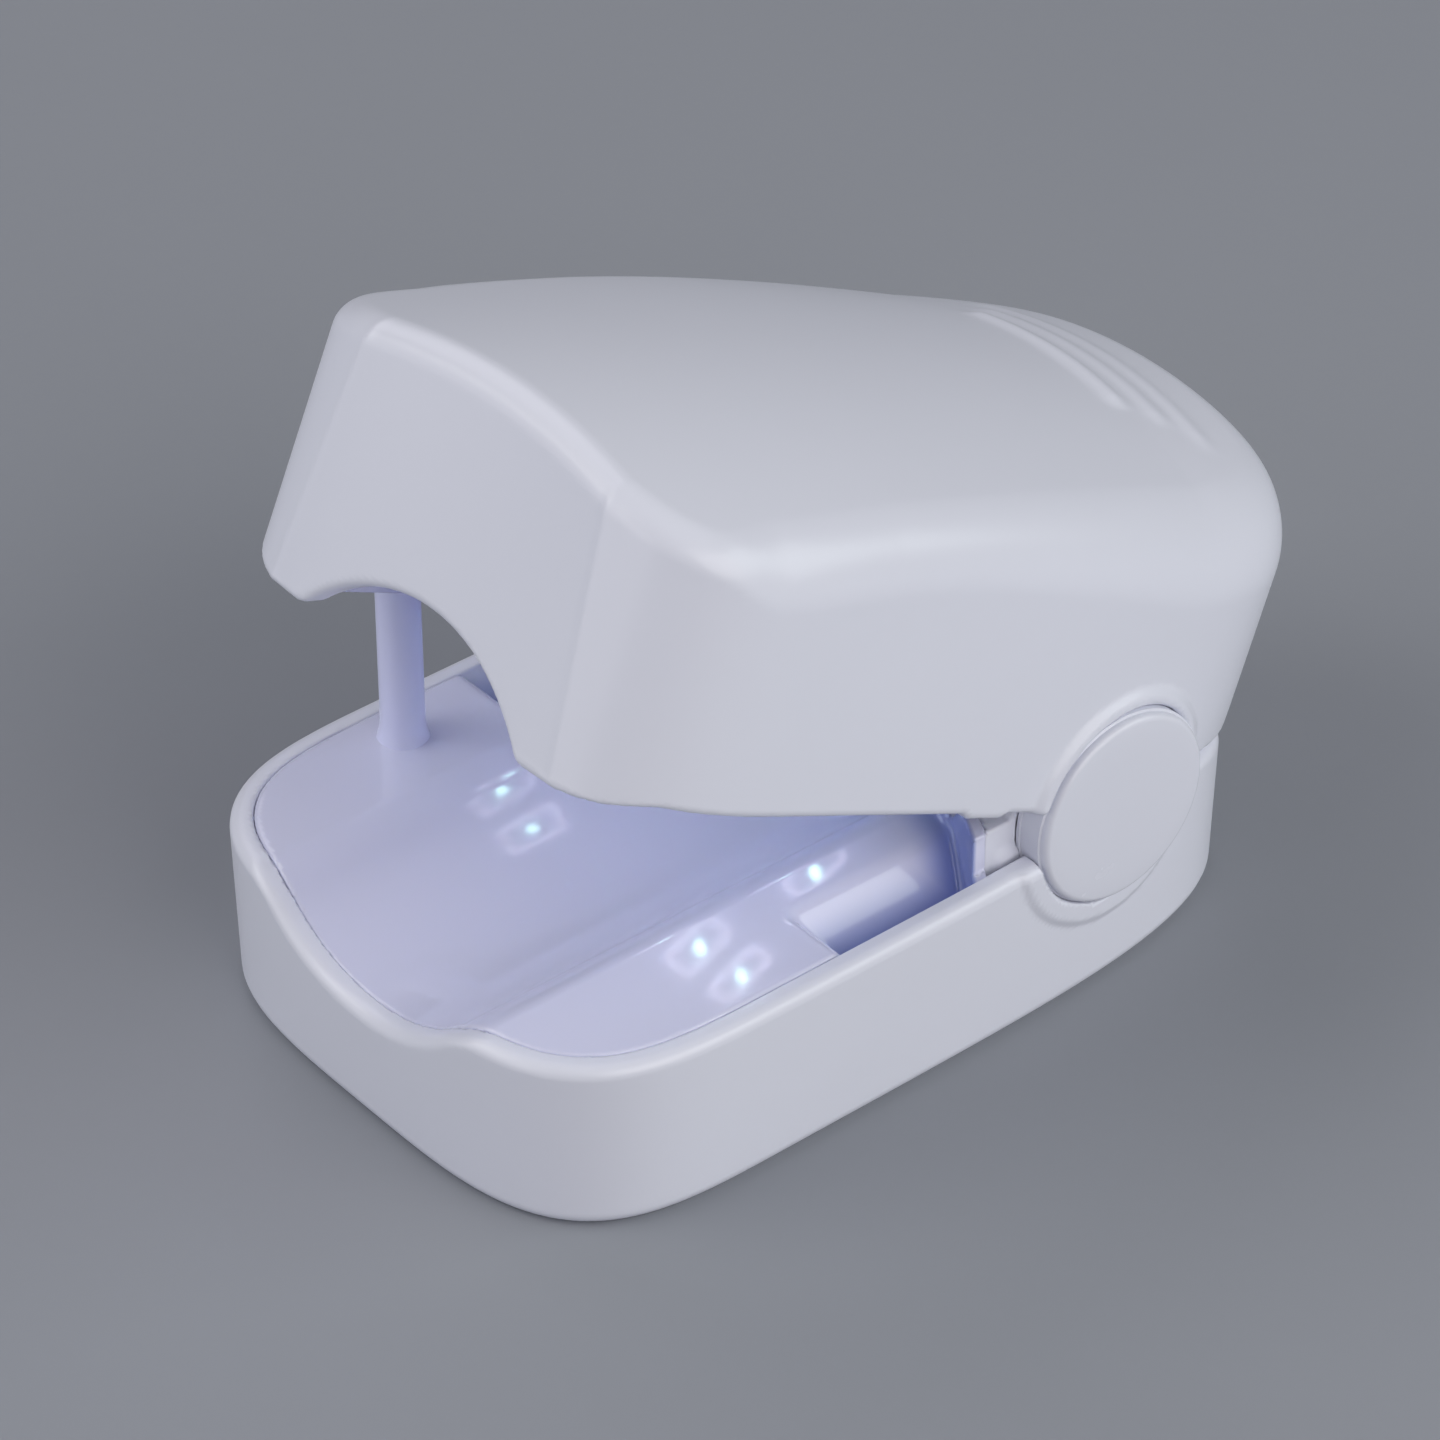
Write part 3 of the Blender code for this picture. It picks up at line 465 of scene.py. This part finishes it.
def grain(tree, shader, colour, spread, roughness, roughness_spread, scale, bump):
    """Drive colour, roughness and bump from noise in the piece's own space."""
    nodes, links = tree.nodes, tree.links
    place = nodes.new("ShaderNodeTexCoord")
    broad = nodes.new("ShaderNodeTexNoise")
    broad.inputs["Scale"].default_value = BROAD_SCALE
    broad.inputs["Detail"].default_value = 3.0
    fine = nodes.new("ShaderNodeTexNoise")
    fine.inputs["Scale"].default_value = scale
    fine.inputs["Detail"].default_value = 4.0
    colour_mix = nodes.new("ShaderNodeMix")
    colour_mix.data_type = "RGBA"
    dark = tuple(c * (1 - spread) for c in colour)
    colour_mix.inputs["A"].default_value = (*dark, 1)
    colour_mix.inputs["B"].default_value = (*colour, 1)
    rough = nodes.new("ShaderNodeMapRange")
    rough.inputs["To Min"].default_value = roughness - roughness_spread
    rough.inputs["To Max"].default_value = roughness + roughness_spread
    for noise in (broad, fine):
        links.new(place.outputs["Object"], noise.inputs["Vector"])
    links.new(broad.outputs["Fac"], colour_mix.inputs["Factor"])
    links.new(colour_mix.outputs["Result"], shader.inputs["Base Color"])
    links.new(fine.outputs["Fac"], rough.inputs["Value"])
    links.new(rough.outputs["Result"], shader.inputs["Roughness"])
    if bump:
        relief = nodes.new("ShaderNodeBump")
        relief.inputs["Strength"].default_value = bump
        relief.inputs["Distance"].default_value = BUMP_DEPTH
        links.new(fine.outputs["Fac"], relief.inputs["Height"])
        links.new(relief.outputs["Normal"], shader.inputs["Normal"])


def moulded(name, colour, roughness, roughness_spread=0.05, spread=0.03, scale=2600.0, bump=0.25,
            metallic=0.0):
    """A solid material with slight variation: plastic, or metal where metallic is 1."""
    material, tree, shader = new_material(name)
    shader.inputs["Metallic"].default_value = metallic
    grain(tree, shader, colour, spread, roughness, roughness_spread, scale, bump)
    return material


def math_node(tree, kind, operation, *sources):
    """A math node of this kind, fed by sockets or plain values."""
    node = tree.nodes.new(kind)
    node.operation = operation
    for slot, source in zip(node.inputs, sources):
        if isinstance(source, bpy.types.NodeSocket):
            tree.links.new(source, slot)
        else:
            slot.default_value = source
    return node


def fade(tree, source, start, end, interpolation="LINEAR"):
    """Map a length in the piece's space to 0 at start and 1 at end, both in millimetres."""
    node = tree.nodes.new("ShaderNodeMapRange")
    node.interpolation_type = interpolation
    node.inputs["From Min"].default_value = start * MM
    node.inputs["From Max"].default_value = end * MM
    tree.links.new(source, node.inputs["Value"])
    return node


def paint_deck_shade(material, colour):
    """Paint shade into the deck's colour: it deepens to another colour toward the curved stop, on the
    stop's inner side only, and low in the pockets behind the shoulders, where the open jaw shades the deck."""
    tree = material.node_tree
    shader = tree.nodes["Principled BSDF"]
    plain = shader.inputs["Base Color"].links[0].from_socket
    place = tree.nodes.new("ShaderNodeTexCoord").outputs["Object"]

    flat = math_node(tree, "ShaderNodeVectorMath", "MULTIPLY", place, (1, 1, 0))
    from_axis = math_node(tree, "ShaderNodeVectorMath", "DISTANCE", flat.outputs["Vector"],
                          (0, STOP_Y * MM, 0)).outputs["Value"]
    near_stop = fade(tree, from_axis, STOP_RADIUS - SHADE_RUN, STOP_RADIUS - 0.3, "SMOOTHSTEP")
    inner_side = fade(tree, from_axis, STOP_RADIUS + 0.3, STOP_RADIUS + 0.05)
    shade_at_stop = math_node(tree, "ShaderNodeMath", "MULTIPLY", near_stop.outputs["Result"],
                        inner_side.outputs["Result"])

    mirrored = math_node(tree, "ShaderNodeVectorMath", "ABSOLUTE", place)
    split = tree.nodes.new("ShaderNodeSeparateXYZ")
    tree.links.new(mirrored.outputs["Vector"], split.inputs["Vector"])
    low = fade(tree, split.outputs["Z"], DECK_Z - 0.6, POCKET_FLOOR + 0.6, "SMOOTHSTEP")
    shade_in_pocket = fade(tree, split.outputs["X"], *SHADE_SIDES)
    tree.links.new(low.outputs["Result"], shade_in_pocket.inputs["To Max"])

    shade_share = math_node(tree, "ShaderNodeMath", "MAXIMUM", shade_at_stop.outputs["Value"],
                      shade_in_pocket.outputs["Result"])
    colour_mix = tree.nodes.new("ShaderNodeMix")
    colour_mix.data_type = "RGBA"
    colour_mix.inputs["B"].default_value = (*colour, 1)
    tree.links.new(shade_share.outputs["Value"], colour_mix.inputs["Factor"])
    tree.links.new(plain, colour_mix.inputs["A"])
    tree.links.new(colour_mix.outputs["Result"], shader.inputs["Base Color"])


def glowing(name, colour, strength, roughness, alpha=1.0):
    """A pale material that gives light of its own."""
    material, tree, shader = new_material(name)
    grain(tree, shader, (0.9, 0.95, 1.0), 0.02, roughness, 0.02, 3000.0, 0.05)
    shader.inputs["Emission Color"].default_value = (*colour, 1)
    shader.inputs["Emission Strength"].default_value = strength
    shader.inputs["Alpha"].default_value = alpha
    return material


SHELL = moulded("white_shell", (0.775, 0.79, 0.88), 0.28, roughness_spread=0.01, scale=150.0, bump=0)
# the deck is white gloss plastic; its lavender colour is partly its own tint and partly painted light, for
# the blue glow of the lamps
DECK = moulded("gloss_white", (0.70, 0.71, 0.88), 0.09, roughness_spread=0.01, bump=0.02)
# painted shade: the deck deepens to navy toward the stop and low in the pockets, for the shade under the
# open jaw
paint_deck_shade(DECK, (0.31, 0.37, 0.70))
CAP = moulded("white_cap", (0.775, 0.79, 0.88), 0.27, roughness_spread=0.01, scale=150.0, bump=0)
# the post's lavender colour is partly its own and partly painted light, for the blue glow of the lamps
POST = moulded("post_tint_and_painted_glow", (0.70, 0.72, 0.95), 0.25, bump=0.03)
# painted shade: the reflector is gloss white, coloured darker and bluer for the shade under the jaw, which
# also darkens the deck's rear below it
PANEL = moulded("gloss_reflector", (0.50, 0.51, 0.72), 0.10, roughness_spread=0.02, bump=0.02)
STEEL = moulded("zinc_steel", (0.60, 0.61, 0.63), 0.30, scale=1500.0, metallic=1.0)
BOARD = moulded("circuit_board", (0.03, 0.20, 0.11), 0.40, spread=0.25, scale=900.0)
CELL = moulded("battery_foil", (0.62, 0.63, 0.66), 0.38, metallic=0.7, scale=1800.0, bump=0.5)
BLACK = moulded("black_plastic", (0.03, 0.03, 0.035), 0.45)
RED = moulded("red_insulation", (0.50, 0.03, 0.03), 0.45)
GREY = moulded("grey_insulation", (0.28, 0.29, 0.31), 0.45)
CHIP = glowing("lamp_chip", (0.55, 1.0, 0.95), 26.0, 0.4)
BEAD = glowing("lamp_bead", (0.90, 0.82, 1.0), 5.0, 0.3)
WINDOW = glowing("lamp_window", (0.72, 0.50, 1.0), 0.9, 0.08, alpha=0.3)


# ------------------------------------------------------------------ pieces

# name, field, low and high corner, material, body, slot, replaced node
SHELLS = (
    ("lower_housing_shell", tub, (-21.6, -19.1, 0), (21.6, 44.2, 16.6),
     SHELL, "base", "white_shell", "lower_housing"),
    ("finger_deck_gloss", deck, (-19.4, -17.2, 7.2), (19.4, 22.6, 16.2),
     DECK, "base", "gloss_white", "finger_deck"),
    ("upper_housing_shell", jaw_shell, (-21.4, -19.3, 8.2), (21.4, 44.9, 37.4),
     SHELL, "jaw", "white_shell", "upper_housing"),
    ("lamp_panel_gloss", panel, (-18.4, -15.8, 13.2), (18.4, 18.6, 19.2),
     PANEL, "jaw", "gloss_white", "lamp_panel"),
)


def add_piece(name, mesh, material, body, nodes, swing=False):
    mesh.materials.append(material)
    piece = bpy.data.objects.new(name, mesh)
    bpy.context.scene.collection.objects.link(piece)
    if swing:
        mesh.transform(SWING)
    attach(piece, body)
    if nodes:
        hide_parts(*nodes)
    return piece


def lathe(name, profile, centre, axis, sides=96):
    """Turn a closed profile of (radius, height) points about an axis through centre."""
    bm = bmesh.new()
    points = [bm.verts.new((radius, 0.0, height)) for radius, height in profile]
    edges = [bm.edges.new(pair) for pair in zip(points, points[1:] + points[:1])]
    bmesh.ops.spin(bm, geom=points + edges, cent=(0, 0, 0), axis=(0, 0, 1), angle=2 * math.pi,
                   steps=sides, use_merge=True)
    bmesh.ops.remove_doubles(bm, verts=bm.verts, dist=0.005)
    turn = {"X": Matrix.Rotation(math.pi / 2, 4, "Y"), "-X": Matrix.Rotation(-math.pi / 2, 4, "Y"),
            "Z": Matrix.Identity(4)}[axis]
    place = Matrix.Scale(MM, 4) @ Matrix.Translation(centre) @ turn
    bmesh.ops.transform(bm, verts=bm.verts, matrix=place)
    bmesh.ops.recalc_face_normals(bm, faces=bm.faces)
    mesh = bpy.data.meshes.new(name)
    bm.to_mesh(mesh)
    bm.free()
    mesh.shade_smooth()
    mesh.set_sharp_from_angle(angle=math.radians(40))
    return mesh


def arc(centre_r, centre_h, radius, start, end, steps=6):
    """Points of a rounded corner in a profile, angles in degrees from the outward radius."""
    angles = [math.radians(start + (end - start) * i / steps) for i in range(steps + 1)]
    return [(centre_r + radius * math.cos(a), centre_h + radius * math.sin(a)) for a in angles]


def add_shells():
    for name, field, low, high, material, body, slot, node in SHELLS:
        add_piece(name, mesh_from_field(name, field, low, high), material, body, [node],
                  swing=body == "jaw")


def add_post():
    round_top = arc(POST_RADIUS - 0.7, POST_TOP - 0.7, 0.7, 90, 0)
    flare = [(POST_RADIUS + 0.3 * t ** 2, DECK_Z + 1.6 - 1.7 * t) for t in (0.0, 0.25, 0.5, 0.75, 1.0)]
    stem = [(POST_RADIUS, DECK_Z - 0.1), (POST_RADIUS, POST_FOOT), (0.0, POST_FOOT)]
    profile = [(0.0, POST_TOP)] + round_top + flare + stem
    mesh = lathe("guide_post_round", profile, (POST_X, POST_Y, 0), "Z")
    add_piece("guide_post_round", mesh, POST, "base", ["guide_post"])


def add_caps():
    """Hinge caps: a slightly domed disc with a soft edge, on a flange that closes the cup behind it."""
    face = [(0.0, 1.40)] + [(r, 1.38 - 0.08 * (r / CAP_RADIUS) ** 4) for r in (2.0, 4.0, 5.4)]
    edge = arc(CAP_RADIUS - 0.45, 0.86, 0.45, 90, 0)
    flange = [(CAP_RADIUS, 0.72), (7.01, 0.64), (7.01, -1.0), (7.12, -1.05), (7.12, -1.3), (0.0, -1.3)]
    for side, tag in ((-1, "left"), (1, "right")):
        mesh = lathe(f"hinge_cap_{tag}_disc", face + edge + flange, (side * CAP_X, HINGE_Y, HINGE_Z),
                     "X" if side > 0 else "-X")
        add_piece(f"hinge_cap_{tag}_disc", mesh, CAP, "base", [f"hinge_cap_{tag}"])


def lens(lamp_x, lamp_y):
    """Field of a lamp's clear lens, which fills its opening and follows the arched roof."""
    def field(x, y, z):
        across = np.abs(np.hypot(x, z - JAW_ARCH_Z) - ROOF_RADIUS - LENS_RISE) - LENS_HALF
        return both(lamp_opening(x - lamp_x, y - lamp_y) + 0.08, across, 0.15)
    return field


def add_lamps():
    """Each lamp is a bright chip in a glowing frame, behind a clear lens that fills its opening."""
    edge = arc(CHIP_RADIUS - 0.2, CHIP_HALF - 0.2, 0.2, 90, 0)
    profile = [(0.0, CHIP_HALF)] + edge + [(CHIP_RADIUS, -CHIP_HALF), (0.0, -CHIP_HALF)]
    for number, (x, y) in enumerate(LAMPS, 1):
        lamp = f"lamp_{number}"
        height = roof_height(x)
        low, high = (x - 2.2, y - 3.3, height - 1.6), (x + 2.2, y + 3.3, height + 1.6)
        window = mesh_from_field(f"{lamp}_lens", lens(x, y), low, high, LENS_CELL)
        chip = lathe(f"{lamp}_chip", profile, (x, y, height + CHIP_RISE), "Z", 24)
        bead = lamp_bead(f"{lamp}_bead", x, y)
        add_piece(f"{lamp}_lens", window, WINDOW, "jaw", [f"lamp_window_{number}"],
                  swing=True)
        add_piece(f"{lamp}_chip", chip, CHIP, "jaw", [lamp], swing=True)
        add_piece(f"{lamp}_bead", bead, BEAD, "jaw", [], swing=True)


def roof_height(x):
    return JAW_ARCH_Z + math.sqrt(ROOF_RADIUS ** 2 - x ** 2)


def lamp_bead(name, centre_x, centre_y):
    """A round bead in a rounded rectangle round a lamp's chip, laid along the arched roof."""
    path = []
    for turn, (side_x, side_y) in enumerate(((1, 1), (-1, 1), (-1, -1), (1, -1))):
        corner_x = centre_x + side_x * (LAMP_FRAME[0] - FRAME_CORNER)
        corner_y = centre_y + side_y * (LAMP_FRAME[1] - FRAME_CORNER)
        path += [(corner_x, corner_y, math.pi / 2 * (turn + step / 8)) for step in range(9)]
    around = [2 * math.pi * k / FRAME_SIDES for k in range(FRAME_SIDES)]
    bm = bmesh.new()
    loops = []
    for corner_x, corner_y, angle in path:
        outward = Vector((math.cos(angle), math.sin(angle), 0))
        x, y = corner_x + FRAME_CORNER * outward.x, corner_y + FRAME_CORNER * outward.y
        middle = Vector((x, y, roof_height(x) + 0.1))
        ring = [middle + FRAME_RADIUS * (outward * math.cos(a) + Vector((0, 0, math.sin(a))))
                for a in around]
        loops.append([bm.verts.new(point * MM) for point in ring])
    for low, high in zip(loops, loops[1:] + loops[:1]):
        for k in range(FRAME_SIDES):
            after = (k + 1) % FRAME_SIDES
            bm.faces.new((low[k], low[after], high[after], high[k]))
    bmesh.ops.recalc_face_normals(bm, faces=bm.faces)
    mesh = bpy.data.meshes.new(name)
    bm.to_mesh(mesh)
    bm.free()
    mesh.shade_smooth()
    return mesh


def dress_cad_nodes():
    """Give every CAD node that stays visible its material, the first whose key its name holds."""
    looks = {"screw": STEEL, "hinge_pin": STEEL, "wave_washer": STEEL, "usb_socket": STEEL,
             "board": BOARD, "battery_cell": CELL, "tact_switch": BLACK, "socket_tongue": BLACK,
             "battery_lead_red": RED, "lead": GREY, "power_button": CAP}
    for name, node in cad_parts.items():
        key = next((key for key in looks if key in name), None)
        if key:
            node.data.materials.clear()
            node.data.materials.append(looks[key])


# ------------------------------------------------------------------ stage

def add_floor():
    bpy.ops.mesh.primitive_plane_add(size=6.0, location=(0, 0, 0))
    floor = bpy.context.object
    floor.name = "floor"
    paper = moulded("floor_paper", (0.30, 0.315, 0.35), 0.75, spread=0.02, scale=700.0, bump=0.05)
    floor.data.materials.append(paper)


# name, place, size, power, colour
LIGHTS = (
    ("key_right", (0.75, 0.05, 0.45), (0.8, 0.7), 4.6, (1.0, 0.97, 0.96)),
    ("back_right", (0.55, 0.65, 0.45), (0.6, 0.5), 2.5, (0.93, 1.0, 1.0)),
    ("front_fill", (-0.25, -0.8, 0.35), (1.0, 0.7), 3.1, (0.95, 0.95, 1.0)),
    ("front_left_high", (-0.4, -0.5, 0.7), (0.6, 0.5), 2.2, (1.0, 1.0, 0.97)),
    ("top_left", (-0.6, 0.1, 0.7), (0.6, 0.5), 1.6, (0.95, 0.93, 1.0)),
)
LIGHT_TARGET = (0, 0.012, 0.02)


def area_light(name, place, size, power, colour):
    """A soft rectangular light that faces the part."""
    data = bpy.data.lights.new(name, "AREA")
    data.shape = "RECTANGLE"
    data.size, data.size_y = size
    data.energy = power
    data.color = colour
    light = bpy.data.objects.new(name, data)
    bpy.context.scene.collection.objects.link(light)
    light.location = place
    light.rotation_euler = (Vector(LIGHT_TARGET) - Vector(place)).to_track_quat("-Z", "Y").to_euler()


def add_lights():
    world = bpy.data.worlds.new("studio")
    bpy.context.scene.world = world
    world.use_nodes = True
    background = world.node_tree.nodes["Background"]
    background.inputs["Color"].default_value = (0.72, 0.80, 1.0, 1)
    background.inputs["Strength"].default_value = 0.03
    for light in LIGHTS:
        area_light(*light)


make_camera()
bpy.context.scene.view_settings.view_transform = "Standard"
add_shells()
add_post()
add_caps()
add_lamps()
dress_cad_nodes()
add_floor()
add_lights()
